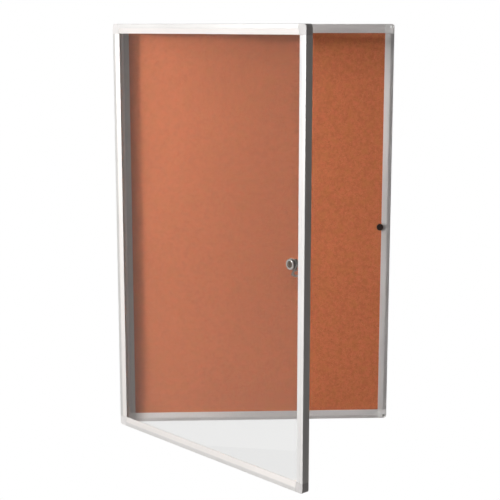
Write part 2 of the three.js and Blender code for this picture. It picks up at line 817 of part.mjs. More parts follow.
// The door is built closed, and the outer group swings it open about the hinge pin.
function makeDoor() {
  const door = new THREE.Group();
  door.position.set(-hingeX, -hingeY, 0);
  for (const place of frameSides()) {
    const name = "door_" + memberNames[place.side];
    door.add(placed(meshOf(name, doorMember(place), finishes.doorAluminium()), place, doorFront));
    const strip = gasketStrip(place.length);
    door.add(placed(meshOf("pane_gasket_" + place.side, strip, finishes.rubber()), place, doorFront));
  }
  const legBack = doorDepth - wall - seatGap;
  for (const place of frameCorners()) {
    const piece = cornerPiece(doorCornerSection(), doorDepth, legBack);
    door.add(placed(meshOf("door_corner_" + place.corner, piece, finishes.corner()), place, doorFront));
  }
  door.add(meshOf("pane", pane(), finishes.pane()));
  door.add(makeMovingHinge());
  door.add(makeLock());
  const swing = new THREE.Group();
  swing.position.set(hingeX, hingeY, 0);
  swing.rotation.z = -degToRad(openAngle);
  swing.add(door);
  return swing;
}

const noticeBoard = new THREE.Group();
noticeBoard.add(makeCase());
noticeBoard.add(makeFixedHinge());
noticeBoard.add(makeDoor());

export default noticeBoard;
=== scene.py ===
# Lockable notice board: an aluminium case with a cork pin surface, and a glazed door hinged on its left.
import json
import math
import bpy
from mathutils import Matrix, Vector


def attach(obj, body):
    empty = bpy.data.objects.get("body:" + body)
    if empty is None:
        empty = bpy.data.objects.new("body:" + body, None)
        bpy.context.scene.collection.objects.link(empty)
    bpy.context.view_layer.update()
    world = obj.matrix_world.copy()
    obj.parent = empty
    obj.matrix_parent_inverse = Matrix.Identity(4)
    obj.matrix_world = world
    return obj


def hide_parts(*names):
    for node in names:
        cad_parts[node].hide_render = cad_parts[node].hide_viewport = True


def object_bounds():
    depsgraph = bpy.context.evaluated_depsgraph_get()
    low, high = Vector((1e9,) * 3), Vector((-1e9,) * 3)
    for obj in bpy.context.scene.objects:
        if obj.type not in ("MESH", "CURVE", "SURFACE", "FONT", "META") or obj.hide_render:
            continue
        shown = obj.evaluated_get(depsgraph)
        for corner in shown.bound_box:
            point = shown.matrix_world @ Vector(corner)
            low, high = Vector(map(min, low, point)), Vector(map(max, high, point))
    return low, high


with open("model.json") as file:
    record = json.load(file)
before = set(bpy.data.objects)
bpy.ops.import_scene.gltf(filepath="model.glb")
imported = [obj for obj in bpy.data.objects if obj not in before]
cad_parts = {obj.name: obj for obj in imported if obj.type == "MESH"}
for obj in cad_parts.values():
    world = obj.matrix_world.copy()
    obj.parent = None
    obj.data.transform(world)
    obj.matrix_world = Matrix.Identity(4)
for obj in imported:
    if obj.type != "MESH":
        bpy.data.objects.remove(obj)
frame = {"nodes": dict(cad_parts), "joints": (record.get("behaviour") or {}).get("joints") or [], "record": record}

from types import SimpleNamespace
import bmesh
import bpy
from mathutils import Matrix, Vector

cadBox = [list(corner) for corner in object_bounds()]
scene = bpy.context.scene
nodes = frame["nodes"]
record = frame["record"]
slotOf = {part["node"]: part["material_slot"] for part in record["subparts"]}
bodyOf = {node: body for body, members in record["behaviour"]["bodies"].items() for node in members}
hinge = next(joint for joint in frame["joints"] if joint["name"] == "door_hinge")
mm = 0.001
touch = 0.01 * mm      # two places nearer than this count as one

# Places. The door is modelled shut and then swung open about its hinge.

hingePlace = Vector(hinge["pos_m"])
atHinge = Matrix.Translation(hingePlace)
swing = Matrix.Rotation(math.radians(-hinge["range_deg"][0]), 4, Vector(hinge["axis"]))
opened = atHinge @ swing @ atHinge.inverted()
still = Matrix.Identity(4)


def swungBy(node):
    return still if bodyOf[node] == "case" else opened


def turnedBy(degrees):
    return Matrix.Rotation(math.radians(degrees), 4, "Y")


def over(place):
    # Carries a shape made about the Y axis to its place on the board.
    return Matrix.Translation((place.x, 0, place.z))


def shutBox(node, turn=0):
    # Lowest and highest corner of a CAD node with the door shut, in axes turned about Y.
    back = (swungBy(node) @ turnedBy(turn)).inverted()
    places = [back @ vertex.co for vertex in nodes[node].data.vertices]
    low = Vector([min(place[i] for place in places) for i in range(3)])
    high = Vector([max(place[i] for place in places) for i in range(3)])
    return low, high


def middleOf(node):
    low, high = shutBox(node)
    return (low + high) / 2


def inMetres(values):
    # Lengths are written in millimetres. Steps, counts and angles stay as they are.
    unscaled = ("Steps", "Count", "Angle")
    scaled = {key: value * (1 if key.endswith(unscaled) else mm) for key, value in values.items()}
    return SimpleNamespace(**scaled)


# Shapes

def drawn(shape, points, closed=True):
    # Points joined in a ring or in a row.
    corners = [shape.verts.new(point) for point in points]
    following = corners[1:] + corners[:1] if closed else corners[1:]
    return corners, [shape.edges.new(pair) for pair in zip(corners, following)]


def onlyVerts(items):
    return [item for item in items if isinstance(item, bmesh.types.BMVert)]


def allOf(shape):
    return shape.verts[:] + shape.edges[:] + shape.faces[:]


def faceOutwards(shape):
    bmesh.ops.recalc_face_normals(shape, faces=shape.faces[:])


def joinFlats(shape):
    # Neighbouring faces that lie in one plane become one.
    bmesh.ops.dissolve_limit(shape, angle_limit=math.radians(0.5), verts=shape.verts[:], edges=shape.edges[:])


def extruded(loops, reach):
    # A flat outline, with any holes in it, pushed along a direction into a closed shape.
    shape = bmesh.new()
    edges = [edge for points in loops for edge in drawn(shape, points)[1]]
    bmesh.ops.triangle_fill(shape, edges=edges, use_beauty=True)
    pushed = bmesh.ops.extrude_face_region(shape, geom=shape.faces[:], use_keep_orig=True)["geom"]
    bmesh.ops.translate(shape, vec=reach, verts=onlyVerts(pushed))
    joinFlats(shape)
    faceOutwards(shape)
    return shape


def plate(outlines, front, thickness):
    # An outline in X and Z, with any holes after it, from its front to its back.
    loops = [[(x, front, z) for x, z in points] for points in outlines]
    return extruded(loops, Vector((0, thickness, 0)))


def spun(profile, steps, axis="Y"):
    # A profile of radius and depth turned right round the Y or the Z axis.
    shape = bmesh.new()
    points = [(radius, depth, 0) if axis == "Y" else (radius, 0, depth) for radius, depth in profile]
    corners, edges = drawn(shape, points, closed=profile[0][0] > 0)
    around = (0, 1, 0) if axis == "Y" else (0, 0, 1)
    bmesh.ops.spin(shape, geom=corners + edges, cent=(0, 0, 0), axis=around, angle=2 * math.pi,
                   steps=steps, use_merge=True)
    bmesh.ops.remove_doubles(shape, verts=shape.verts[:], dist=0.0005 * mm)
    faceOutwards(shape)
    return shape


def block(sizes, middle):
    shape = bmesh.new()
    bmesh.ops.create_cube(shape, size=1)
    bmesh.ops.scale(shape, vec=sizes, verts=shape.verts[:])
    bmesh.ops.translate(shape, vec=middle, verts=shape.verts[:])
    return shape


def arc(centre, radius, start, end, steps):
    # Points of an arc in X and Z, with its angles in degrees.
    angles = [math.radians(start + (end - start) * step / steps) for step in range(steps + 1)]
    return [(centre[0] + radius * math.cos(angle), centre[1] + radius * math.sin(angle)) for angle in angles]


def circle(centre, radius, steps):
    return arc(centre, radius, 0, 360, steps)[:-1]


def rectangle(low, high, radius=0, steps=1):
    # Its four corners, or its outline with rounded corners, in X and Z.
    if not radius:
        return [(low.x, low.z), (high.x, low.z), (high.x, high.z), (low.x, high.z)]
    left, right, bottom, top = low.x + radius, high.x - radius, low.z + radius, high.z - radius
    outline = []
    for turn, centre in enumerate(((right, top), (left, top), (left, bottom), (right, bottom))):
        outline += arc(centre, radius, 90 * turn, 90 * turn + 90, steps)
    return outline


def quarterRound(start, reach, front, depth, steps):
    # Radius and depth along a round that leaves the front and turns down the side.
    angles = [math.radians(90 * step / steps) for step in range(steps + 1)]
    return [(start + reach * math.sin(angle), front + depth * (1 - math.cos(angle))) for angle in angles]


def roundEdges(shape, chosen, width, steps):
    # Rounds the edges that a test chooses.
    edges = [edge for edge in shape.edges if len(edge.link_faces) == 2 and chosen(edge)]
    bmesh.ops.bevel(shape, geom=edges, affect="EDGES", offset=width, segments=steps, profile=0.5,
                    material=-1, clamp_overlap=True)


def alongLine(**line):
    # Chooses the edges on a line that two of its coordinates give.
    return lambda edge: all(abs(getattr(vertex.co, axis) - value) < touch
                            for vertex in edge.verts for axis, value in line.items())


def soften(shape, width, steps=2, angle=32):
    # Takes the sharpness off every edge that turns by more than the angle.
    roundEdges(shape, lambda edge: edge.calc_face_angle(0) > math.radians(angle), width, steps)


def moved(shape, matrix):
    bmesh.ops.transform(shape, matrix=matrix, verts=shape.verts[:])
    return shape


def meshed(shape, name="workpiece"):
    # The mesh of a shape, which is used up.
    mesh = bpy.data.meshes.new(name)
    shape.to_mesh(mesh)
    shape.free()
    return mesh


def placed(name, data):
    holder = bpy.data.objects.new(name, data)
    scene.collection.objects.link(holder)
    return holder


def combined(shape, other, how):
    # The two closed shapes joined, cut or crossed.
    pair = [placed("workpiece", meshed(part)) for part in (shape, other)]
    change = pair[0].modifiers.new("combine", "BOOLEAN")
    change.operation = how
    change.object = pair[1]
    change.solver = "EXACT"
    bpy.context.view_layer.update()
    result = bmesh.new()
    result.from_object(pair[0], bpy.context.evaluated_depsgraph_get())
    for holder in pair:
        mesh = holder.data
        bpy.data.objects.remove(holder)
        bpy.data.meshes.remove(mesh)
    return result


def crossRecess(values, face):
    # Cutter for a cross recess, half of it on each side of a screw's face.
    far, near, depth = values.recessSpan / 2, values.recessWidth / 2, values.recessDepth
    quarter = [(far, -near), (far, near), (near, near)]
    outline = []
    for turn in range(4):
        outline += quarter
        quarter = [(-z, x) for x, z in quarter]
    return plate([outline], face - depth, 2 * depth)


def addPiece(node, shape, place=still, smoothAngle=40, name=None):
    # One finished piece in the place of the CAD node that it stands for, and named after it.
    own = shape.verts.layers.float_vector.new("ownPlace")
    for vertex in shape.verts:
        vertex[own] = vertex.co
    moved(shape, swungBy(node) @ place)
    first, *rest = node.split("_")
    name = name or first + "".join(word.capitalize() for word in rest)
    mesh = meshed(shape, name)
    mesh.shade_smooth()
    mesh.set_sharp_from_angle(angle=math.radians(smoothAngle))
    mesh.materials.append(finishOf(node))
    piece = placed(name, mesh)
    piece.modifiers.new("even shading", "WEIGHTED_NORMAL").keep_sharp = True
    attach(piece, bodyOf[node])
    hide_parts(node)


# Shading nodes

def fill(tree, node, inputs):
    # Links or sets the inputs of a node.
    for key, value in inputs.items():
        socket = node.inputs[key]
        if isinstance(value, bpy.types.NodeSocket):
            tree.links.new(value, socket)
        else:
            socket.default_value = (*value[:3], 1) if socket.type == "RGBA" else value


def put(tree, kind, inputs=None, **settings):
    # Adds a node, sets its fields, and links or sets its inputs.
    node = tree.nodes.new("ShaderNode" + kind)
    for key, value in settings.items():
        setattr(node, key, value)
    fill(tree, node, inputs or {})
    return node


def mixed(tree, factor, first, second):
    # A colour mix. Its first, seventh and eighth sockets are the factor and the two colours.
    return put(tree, "Mix", {0: factor, 6: first, 7: second}, data_type="RGBA").outputs[2]


def ranged(tree, value, low, high, fromLow=0, fromHigh=1):
    return put(tree, "MapRange", {0: value, 1: fromLow, 2: fromHigh, 3: low, 4: high}).outputs[0]


def tinted(tree, colour, other, mask, amount, fromLow, fromHigh):
    # Goes from a colour to another by up to an amount, as a mask rises from one value to another.
    return mixed(tree, ranged(tree, mask, 0.0, amount, fromLow, fromHigh), colour, other)


def noise(tree, spot, scale, detail, rough=0.5, bend=0.0):
    inputs = {"Vector": spot, "Scale": scale, "Detail": detail, "Roughness": rough, "Distortion": bend}
    return put(tree, "TexNoise", inputs).outputs[0]


def cells(tree, spot, scale, **settings):
    return put(tree, "TexVoronoi", {"Vector": spot, "Scale": scale, "Randomness": 1.0}, **settings).outputs


def calc(tree, how, first, second):
    return put(tree, "Math", {0: first, 1: second}, operation=how).outputs[0]


def vectorCalc(tree, how, first, second):
    return put(tree, "VectorMath", {0: first, 1: second}, operation=how).outputs[0]


def bumped(tree, height, distance, strength=1.0):
    return put(tree, "Bump", {"Height": height, "Distance": distance, "Strength": strength}).outputs[0]


# Shading groups

def newGroup(name, values, *gives):
    # A group that takes a place and some values, and gives masks or heights.
    group = bpy.data.node_groups.new(name, "ShaderNodeTree")
    group.interface.new_socket("Vector", in_out="INPUT", socket_type="NodeSocketVector")
    for label, start in values.items():
        group.interface.new_socket(label, in_out="INPUT", socket_type="NodeSocketFloat").default_value = start
    for label in gives:
        group.interface.new_socket(label, in_out="OUTPUT", socket_type="NodeSocketFloat")
    return group, group.nodes.new("NodeGroupInput").outputs, group.nodes.new("NodeGroupOutput").inputs


def grainGroup():
    # Fine lines along a drawn or rolled piece, whose own X runs along it.
    group, given, out = newGroup("drawn lines", {"Along": 4.0, "Across": 2200.0, "Broad": 240.0},
                                 "Lines", "Bands", "Height")
    layers = []
    for across, detail in ((given["Across"], 2.0), (given["Broad"], 3.0)):
        scales = put(group, "CombineXYZ", {"X": given["Along"], "Y": across, "Z": across}).outputs[0]
        spot = vectorCalc(group, "MULTIPLY", given["Vector"], scales)
        layers.append(noise(group, spot, 1.0, detail, 0.6))
    group.links.new(layers[0], out["Lines"])
    group.links.new(layers[1], out["Bands"])
    group.links.new(calc(group, "ADD", *layers), out["Height"])
    return group


def wearGroup():
    # Where an edge is rubbed: the rounded normal leaves the flat one there.
    group, given, out = newGroup("rubbed edges", {"Width": 0.0006, "Patchiness": 90.0}, "Mask")
    rounded = put(group, "Bevel", {"Radius": given["Width"]}, samples=6).outputs[0]
    plain = put(group, "NewGeometry").outputs["Normal"]
    likeness = put(group, "VectorMath", {0: rounded, 1: plain}, operation="DOT_PRODUCT").outputs["Value"]
    edge = ranged(group, likeness, 1.0, 0.0, 0.86, 0.995)
    patch = noise(group, given["Vector"], given["Patchiness"], 4.0)
    group.links.new(calc(group, "MULTIPLY", edge, ranged(group, patch, 0.0, 1.0, 0.38, 0.62)), out["Mask"])
    return group


def dustGroup():
    # Dust that settles on faces that look up, in soft patches.
    group, given, out = newGroup("settled dust", {"Amount": 0.3, "Patches": 14.0}, "Mask")
    facing = put(group, "SeparateXYZ", {0: put(group, "NewGeometry").outputs["Normal"]}).outputs["Z"]
    upward = ranged(group, facing, 0.0, 1.0, 0.1, 0.95)
    patch = noise(group, given["Vector"], given["Patches"], 5.0, 0.65)
    cover = calc(group, "MULTIPLY", upward, ranged(group, patch, 0.35, 1.0, 0.35, 0.7))
    group.links.new(calc(group, "MULTIPLY", cover, given["Amount"]), out["Mask"])
    return group


def handledGroup():
    # Faint smears and spots left by hands and cleaning.
    group, given, out = newGroup("smears", {"Size": 9.0}, "Mask")
    smear = ranged(group, noise(group, given["Vector"], given["Size"], 2.0, bend=1.2), 0.0, 1.0, 0.45, 0.75)
    spots = ranged(group, noise(group, given["Vector"], 260.0, 3.0), 0.6, 1.0, 0.3, 0.7)
    group.links.new(calc(group, "MULTIPLY", smear, spots), out["Mask"])
    return group


drawnLines = grainGroup()
rubbedEdges = wearGroup()
settledDust = dustGroup()
smears = handledGroup()
print("shading groups: drawn lines, rubbed edges, settled dust, smears")


def useGroup(tree, group, spot, **values):
    # Places a group and gives all that it puts out.
    return put(tree, "Group", {"Vector": spot, **values}, node_tree=group).outputs


def maskOf(tree, group, spot, **values):
    return useGroup(tree, group, spot, **values)["Mask"]


# Materials

dustColour = (0.45, 0.42, 0.39)


def made(name, layNodes, look):
    # A material, whose nodes a function lays.
    material = bpy.data.materials.new(name)
    material.use_nodes = True
    layNodes(material.node_tree, SimpleNamespace(**look))
    return material


def ownPlace(tree):
    return put(tree, "Attribute", attribute_name="ownPlace").outputs["Vector"]


def objectPlace(tree):
    return put(tree, "TexCoord").outputs["Object"]


def surfaced(tree, colour, rough, **inputs):
    # Links or sets the inputs of the material's own shader.
    named = {key.replace("_", " "): value for key, value in inputs.items()}
    fill(tree, tree.nodes["Principled BSDF"], {"Base Color": colour, "Roughness": rough, **named})


def blendOver(tree, factor, shader):
    # Puts another shader over the material's own one, by a factor.
    own = tree.nodes["Principled BSDF"].outputs[0]
    both = put(tree, "MixShader", {0: factor, 1: own, 2: shader}).outputs[0]
    tree.links.new(both, tree.nodes["Material Output"].inputs["Surface"])


def anodised(tree, look):
    # Satin anodised extrusion with die lines along it.
    spot = ownPlace(tree)
    grain = useGroup(tree, drawnLines, spot)
    worn = maskOf(tree, rubbedEdges, spot)
    dust = maskOf(tree, settledDust, spot, Amount=look.dust)
    smear = maskOf(tree, smears, spot)
    cloud = noise(tree, spot, 5.0, 3.0)
    etch = noise(tree, spot, 5200.0, 1.0)
    colour = tinted(tree, look.shade, look.colour, cloud, 1.0, 0.35, 0.65)
    colour = tinted(tree, colour, look.shade, grain["Bands"], 0.35, 0.4, 0.65)
    colour = mixed(tree, worn, colour, look.bare)
    if look.lipEnd:
        reach = put(tree, "SeparateXYZ", {0: spot}).outputs["Z"]
        colour = tinted(tree, colour, look.lip, reach, 1.0, look.lipStart * mm, look.lipEnd * mm)
    colour = mixed(tree, dust, colour, dustColour)
    rough = ranged(tree, grain["Lines"], look.rough - 0.05, look.rough + 0.05, 0.3, 0.7)
    rough = calc(tree, "ADD", rough, ranged(tree, smear, 0.0, 0.08))
    rough = calc(tree, "ADD", rough, ranged(tree, dust, 0.0, 0.5))
    metal = calc(tree, "SUBTRACT", look.metal, ranged(tree, dust, 0.0, 0.8))
    height = calc(tree, "ADD", grain["Height"], etch)
    surfaced(tree, colour, rough, Metallic=metal, Normal=bumped(tree, height, 0.004 * mm, 0.6))


def mouldedPlastic(tree, look):
    # Moulded plastic with a fine spark-eroded texture.
    spot = ownPlace(tree)
    texture = noise(tree, spot, look.texture, 3.0, 0.6)
    cloud = noise(tree, spot, 40.0, 3.0)
    worn = maskOf(tree, rubbedEdges, spot, Width=0.0008)
    dust = maskOf(tree, settledDust, spot, Amount=look.dust)
    colour = tinted(tree, look.shade, look.colour, cloud, 1.0, 0.35, 0.65)
    colour = tinted(tree, colour, look.shade, texture, 0.25, 0.45, 0.7)
    colour = mixed(tree, ranged(tree, worn, 0.0, 0.6), colour, look.bare)
    colour = mixed(tree, dust, colour, dustColour)
    rough = ranged(tree, texture, look.rough - 0.07, look.rough + 0.07, 0.3, 0.7)
    surfaced(tree, colour, rough, Normal=bumped(tree, texture, 0.03 * mm))


def corkSheet(tree, look):
    # Pressed cork: small granules of several browns, dark grains between them and a soft mottle.
    spot = objectPlace(tree)
    bend = put(tree, "TexNoise", {"Vector": spot, "Scale": 700.0, "Detail": 2.0}).outputs["Color"]
    shift = put(tree, "VectorMath", {0: bend, "Scale": 0.0012}, operation="SCALE").outputs[0]
    bent = vectorCalc(tree, "ADD", spot, shift)
    granule = put(tree, "SeparateColor", {0: cells(tree, bent, look.granules)["Color"]}).outputs
    gap = cells(tree, bent, look.granules, feature="DISTANCE_TO_EDGE")["Distance"]
    broad = noise(tree, spot, look.mottle, 4.0, 0.55)
    patches = noise(tree, spot, look.mottle * 0.7, 3.0, 0.5, 0.6)
    clusters = noise(tree, spot, look.clusters, 2.0, 0.6)
    fine = noise(tree, spot, 2600.0, 3.0)
    colour = tinted(tree, look.dark, look.light, granule[0], 1.0, 0.15, 0.85)
    colour = tinted(tree, colour, look.red, granule[1], 0.5, 0.3, 1.0)
    colour = tinted(tree, colour, look.bark, granule[2], 0.75, 0.9, 0.97)
    colour = mixed(tree, ranged(tree, gap, 0.45, 0.0, 0.0, 0.12), colour, look.bark)
    colour = tinted(tree, colour, look.red, broad, look.mottleAmount, 0.4, 0.65)
    colour = tinted(tree, colour, look.ochre, patches, look.mottleAmount, 0.45, 0.7)
    colour = tinted(tree, colour, look.bark, clusters, look.clusterAmount, 0.44, 0.66)
    height = calc(tree, "ADD", ranged(tree, gap, 0.0, 1.0, 0.0, 0.2), ranged(tree, fine, 0.0, 0.5))
    height = calc(tree, "ADD", height, granule[0])
    surfaced(tree, colour, ranged(tree, fine, 0.86, 0.98), Specular_IOR_Level=0.25,
             Normal=bumped(tree, height, look.relief * mm))


def woodFibre(tree, look):
    # Soft board of felted wood fibre, whose hairs lie both ways.
    spot = objectPlace(tree)
    hairs = [noise(tree, vectorCalc(tree, "MULTIPLY", spot, scales), 1.0, 3.0, bend=1.5)
             for scales in ((300.0, 300.0, 2400.0), (2400.0, 300.0, 300.0))]
    felt = calc(tree, "MAXIMUM", *hairs)
    cloud = noise(tree, spot, 12.0, 4.0)
    colour = tinted(tree, look.dark, look.light, felt, 1.0, 0.45, 0.7)
    colour = tinted(tree, colour, look.dark, cloud, 0.4, 0.35, 0.65)
    surfaced(tree, colour, ranged(tree, felt, 0.85, 0.98), Normal=bumped(tree, felt, 0.15 * mm))


def galvanised(tree, look):
    # Hot-dipped sheet: zinc spangle with a soft sheen that changes from crystal to crystal.
    spot = objectPlace(tree)
    crystal = put(tree, "SeparateColor", {0: cells(tree, spot, look.spangle)["Color"]}).outputs
    frost = noise(tree, spot, 900.0, 4.0)
    cloud = noise(tree, spot, 6.0, 4.0)
    smear = maskOf(tree, smears, spot, Size=5.0)
    colour = mixed(tree, crystal[0], look.dark, look.light)
    colour = tinted(tree, colour, look.dark, cloud, 0.5, 0.4, 0.7)
    rough = ranged(tree, crystal[1], look.rough - 0.09, look.rough + 0.09)
    rough = calc(tree, "ADD", rough, ranged(tree, smear, 0.0, 0.12))
    height = calc(tree, "ADD", crystal[2], ranged(tree, frost, 0.0, 0.5))
    surfaced(tree, colour, rough, Metallic=1.0, Normal=bumped(tree, height, 0.01 * mm, 0.5))


def platedMetal(tree, look):
    # Plated steel or brass with fine scratches, smears and rubbed edges.
    spot = objectPlace(tree)
    cloud = noise(tree, spot, look.cloud, 4.0)
    scratch = noise(tree, spot, 1800.0, 2.0, bend=3.0)
    worn = maskOf(tree, rubbedEdges, spot, Width=0.0004, Patchiness=300.0)
    smear = maskOf(tree, smears, spot, Size=60.0)
    colour = tinted(tree, look.shade, look.colour, cloud, 1.0, 0.35, 0.65)
    colour = tinted(tree, colour, look.shade, scratch, 0.3, 0.55, 0.7)
    colour = mixed(tree, ranged(tree, worn, 0.0, look.wear), colour, look.bare)
    rough = ranged(tree, scratch, look.rough, look.rough + 0.12, 0.45, 0.75)
    rough = calc(tree, "ADD", rough, ranged(tree, smear, 0.0, 0.12))
    metal = look.metal
    if look.wearMetal:
        metal = calc(tree, "ADD", metal, ranged(tree, worn, 0.0, look.wearMetal))
    surfaced(tree, colour, rough, Metallic=metal, Normal=bumped(tree, scratch, 0.003 * mm, 0.5))


def softTrim(tree, look):
    # Extruded rubber or moulded nylon, matt, with a little bloom.
    spot = objectPlace(tree)
    skin = noise(tree, spot, 1500.0, 3.0)
    bloom = noise(tree, spot, 30.0, 4.0)
    colour = tinted(tree, look.shade, look.colour, bloom, 1.0, 0.35, 0.7)
    colour = tinted(tree, colour, look.shade, skin, 0.3, 0.5, 0.75)
    rough = ranged(tree, skin, look.rough - 0.08, look.rough + 0.08, 0.3, 0.7)
    surfaced(tree, colour, rough, Normal=bumped(tree, skin, 0.02 * mm))


def clearAcrylic(tree, look):
    # Polished clear sheet with faint smears. Light passes through it to what lies behind.
    smear = maskOf(tree, smears, objectPlace(tree), Size=7.0)
    rough = ranged(tree, smear, look.rough, look.rough + 0.03)
    surfaced(tree, look.colour, rough, Transmission_Weight=1.0, IOR=look.ior)
    through = put(tree, "BsdfTransparent", {"Color": look.shadow}).outputs[0]
    shadowRay = put(tree, "LightPath").outputs["Is Shadow Ray"]
    blendOver(tree, shadowRay, through)


caseLook = {"colour": (0.76, 0.73, 0.725), "shade": (0.69, 0.66, 0.655), "bare": (0.87, 0.86, 0.85),
            "lipEnd": 0, "rough": 0.44, "metal": 0.55, "dust": 0.25}
doorLook = {"colour": (0.76, 0.75, 0.74), "shade": (0.71, 0.70, 0.69), "bare": (0.9, 0.9, 0.89),
            "lip": (0.83, 0.80, 0.78), "lipStart": 9.0, "lipEnd": 9.6,
            "rough": 0.44, "metal": 0.5, "dust": 0.2}
finishes = {
    "corner_plastic": made("moulded silver grey", mouldedPlastic, {
        "colour": (0.72, 0.705, 0.70), "shade": (0.66, 0.645, 0.64), "bare": (0.8, 0.79, 0.78),
        "texture": 2200.0, "rough": 0.46, "dust": 0.2}),
    "cork": made("pressed cork", corkSheet, {
        "light": (0.594, 0.196, 0.084), "dark": (0.465, 0.129, 0.05), "red": (0.554, 0.148, 0.069),
        "bark": (0.287, 0.081, 0.035), "ochre": (0.465, 0.153, 0.055), "granules": 760.0, "relief": 0.07,
        "mottle": 80.0, "mottleAmount": 0.75, "clusters": 130.0, "clusterAmount": 0.3}),
    "fibreboard": made("felted wood fibre", woodFibre, {
        "light": (0.45, 0.31, 0.18), "dark": (0.25, 0.15, 0.075)}),
    "galvanised_sheet": made("galvanised spangle", galvanised, {
        "light": (0.68, 0.70, 0.72), "dark": (0.48, 0.50, 0.52), "spangle": 75.0, "rough": 0.42}),
    "screw_steel": made("zinc plate", platedMetal, {
        "colour": (0.72, 0.72, 0.70), "shade": (0.6, 0.6, 0.59), "bare": (0.8, 0.8, 0.79),
        "cloud": 160.0, "rough": 0.28, "metal": 0.95, "wear": 0.6, "wearMetal": 0.05}),
    "hinge_aluminium": made("satin anodised hinge", anodised, {
        "colour": (0.78, 0.76, 0.745), "shade": (0.7, 0.68, 0.67), "bare": (0.88, 0.88, 0.87),
        "lipEnd": 0, "rough": 0.42, "metal": 0.6, "dust": 0.15}),
    "lock_chrome": made("nickel chrome plate", platedMetal, {
        "colour": (0.70, 0.665, 0.64), "shade": (0.62, 0.59, 0.565), "bare": (0.86, 0.84, 0.82),
        "cloud": 90.0, "rough": 0.18, "metal": 0.75, "wear": 0.5, "wearMetal": 0.0}),
    "keeper_black": made("black satin plate", platedMetal, {
        "colour": (0.022, 0.012, 0.009), "shade": (0.014, 0.008, 0.006), "bare": (0.22, 0.2, 0.18),
        "cloud": 220.0, "rough": 0.42, "metal": 0.15, "wear": 0.35, "wearMetal": 0.5}),
    "gasket_rubber": made("grey gasket", softTrim, {
        "colour": (0.42, 0.41, 0.40), "shade": (0.34, 0.33, 0.32), "rough": 0.62}),
    "washer_nylon": made("grey nylon", softTrim, {
        "colour": (0.30, 0.29, 0.28), "shade": (0.24, 0.23, 0.22), "rough": 0.48}),
    "clear_pane": made("clear acrylic", clearAcrylic, {
        "colour": (0.955, 0.955, 0.95), "shadow": (0.86, 0.86, 0.855), "ior": 1.49, "rough": 0.0}),
}
# The plug and the cam are duller and darker than their slots' other nodes. Their darkness is painted shade: the
# shade in the plug's recess, and the shadow that falls on the cam behind the lock.
ownFinishes = {
    "lock_plug": made("tarnished plug", platedMetal, {
        "colour": (0.26, 0.21, 0.17), "shade": (0.16, 0.13, 0.105), "bare": (0.5, 0.45, 0.4),
        "cloud": 260.0, "rough": 0.24, "metal": 0.9, "wear": 0.4, "wearMetal": 0.1}),
    "lock_cam": made("dull passivated plate", platedMetal, {
        "colour": (0.20, 0.175, 0.155), "shade": (0.15, 0.13, 0.115), "bare": (0.5, 0.48, 0.45),
        "cloud": 140.0, "rough": 0.34, "metal": 0.85, "wear": 0.5, "wearMetal": 0.1}),
}
# The case and the door are of one aluminium each. Each bar's tone is painted light and shade: lighter where the
# bar should catch more light, darker where it lies in shade. Their gloss differs a little.
paintedLightTones = {
    "case_rail_top": {"tone": 1.22},
    "case_rail_bottom": {"tone": 1.08},
    "case_stile_free": {"tone": 0.80},
    "case_stile_hinge": {"tone": 0.75},
    "door_stile_free": {"tone": 1.19, "metal": 0.35},
    "door_rail_top": {"tone": 1.12, "metal": 0.4},
    "door_rail_bottom": {"tone": 1.05, "metal": 0.4},
    "door_stile_hinge": {"tone": 0.86, "lipTone": 0.95, "metal": 0.35, "rough": 0.5},
}
brightest = 0.93


def paintedLightBar(node, values):
    # Scales the bar's colours by its painted light tone, and its lip's colour by the lipTone where one is given.
    look = dict(caseLook if node.startswith("case") else doorLook)
    look.update({part: values[part] for part in ("metal", "rough") if part in values})
    for part in ("colour", "shade", "lip"):
        if part in look:
            tone = values.get(part + "Tone", values["tone"])
            look[part] = tuple(min(value * tone, brightest) for value in look[part])
    return made("satin anodised " + node.replace("_", " "), anodised, look)


for node, values in paintedLightTones.items():
    ownFinishes[node] = paintedLightBar(node, values)
print("finishes: %d" % (len(finishes) + len(ownFinishes)))


def finishOf(node):
    return ownFinishes[node] if node in ownFinishes else finishes[slotOf[node]]


# Frame members

barStock = {"rim": 8.5, "wall": 1.5, "frontWall": 2.2, "chamber": 8, "grooveWidth": 0.8, "grooveDepth": 0.5,
            "edgeRound": 1.2, "roundSteps": 5, "soften": 0.18}
caseProfile = inMetres(dict(barStock, bevelDrop=3.5, ledgeReach=0, sheetGap=0.3))
doorProfile = inMetres(dict(barStock, bevelDrop=3, ledgeReach=5, ledgeGap=0.3, recess=0))
memberTurns = {"rail_bottom": 0, "stile_hinge": 90, "rail_top": 180, "stile_free": -90}
ledgeFront = shutBox("pane_gasket_bottom")[1].y - shutBox("door_rail_bottom")[0].y + doorProfile.ledgeGap
caseProfile.recess = shutBox("back_sheet")[1].y - shutBox("back_sheet")[0].y + caseProfile.sheetGap


def section(profile, width, depth, grooved):
    # From the outer edge over the face to the lip, and round the channel and the back, as reach and depth.
    drop, rim, wall = profile.bevelDrop, profile.rim, profile.wall
    half = profile.grooveWidth / 2
    channel = wall + profile.chamber + wall

    def sloped(inward):
        return drop * (inward - rim) / (width - rim)

    points = [(0, 0)]
    if grooved:
        points += [(rim - half, 0), (rim, profile.grooveDepth), (rim + half, sloped(rim + half))]
    else:
        points.append((rim, 0))
    points += [(width, drop), (width, drop + wall)]
    if grooved:
        points.append((width - wall, drop + wall))
        points += [(inward, sloped(inward) + wall) for inward in (width - wall, channel)]
    else:
        points.append((channel, drop + wall))
    if profile.ledgeReach:
        reach, ledgeBack = channel + profile.ledgeReach, ledgeFront + wall
        points += [(channel, ledgeFront), (reach, ledgeFront), (reach, ledgeBack), (channel, ledgeBack)]
    if profile.recess:
        seat = depth - profile.recess
        return points + [(channel, seat), (wall, seat), (wall, depth), (0, depth)]
    return points + [(channel, depth), (0, depth)]


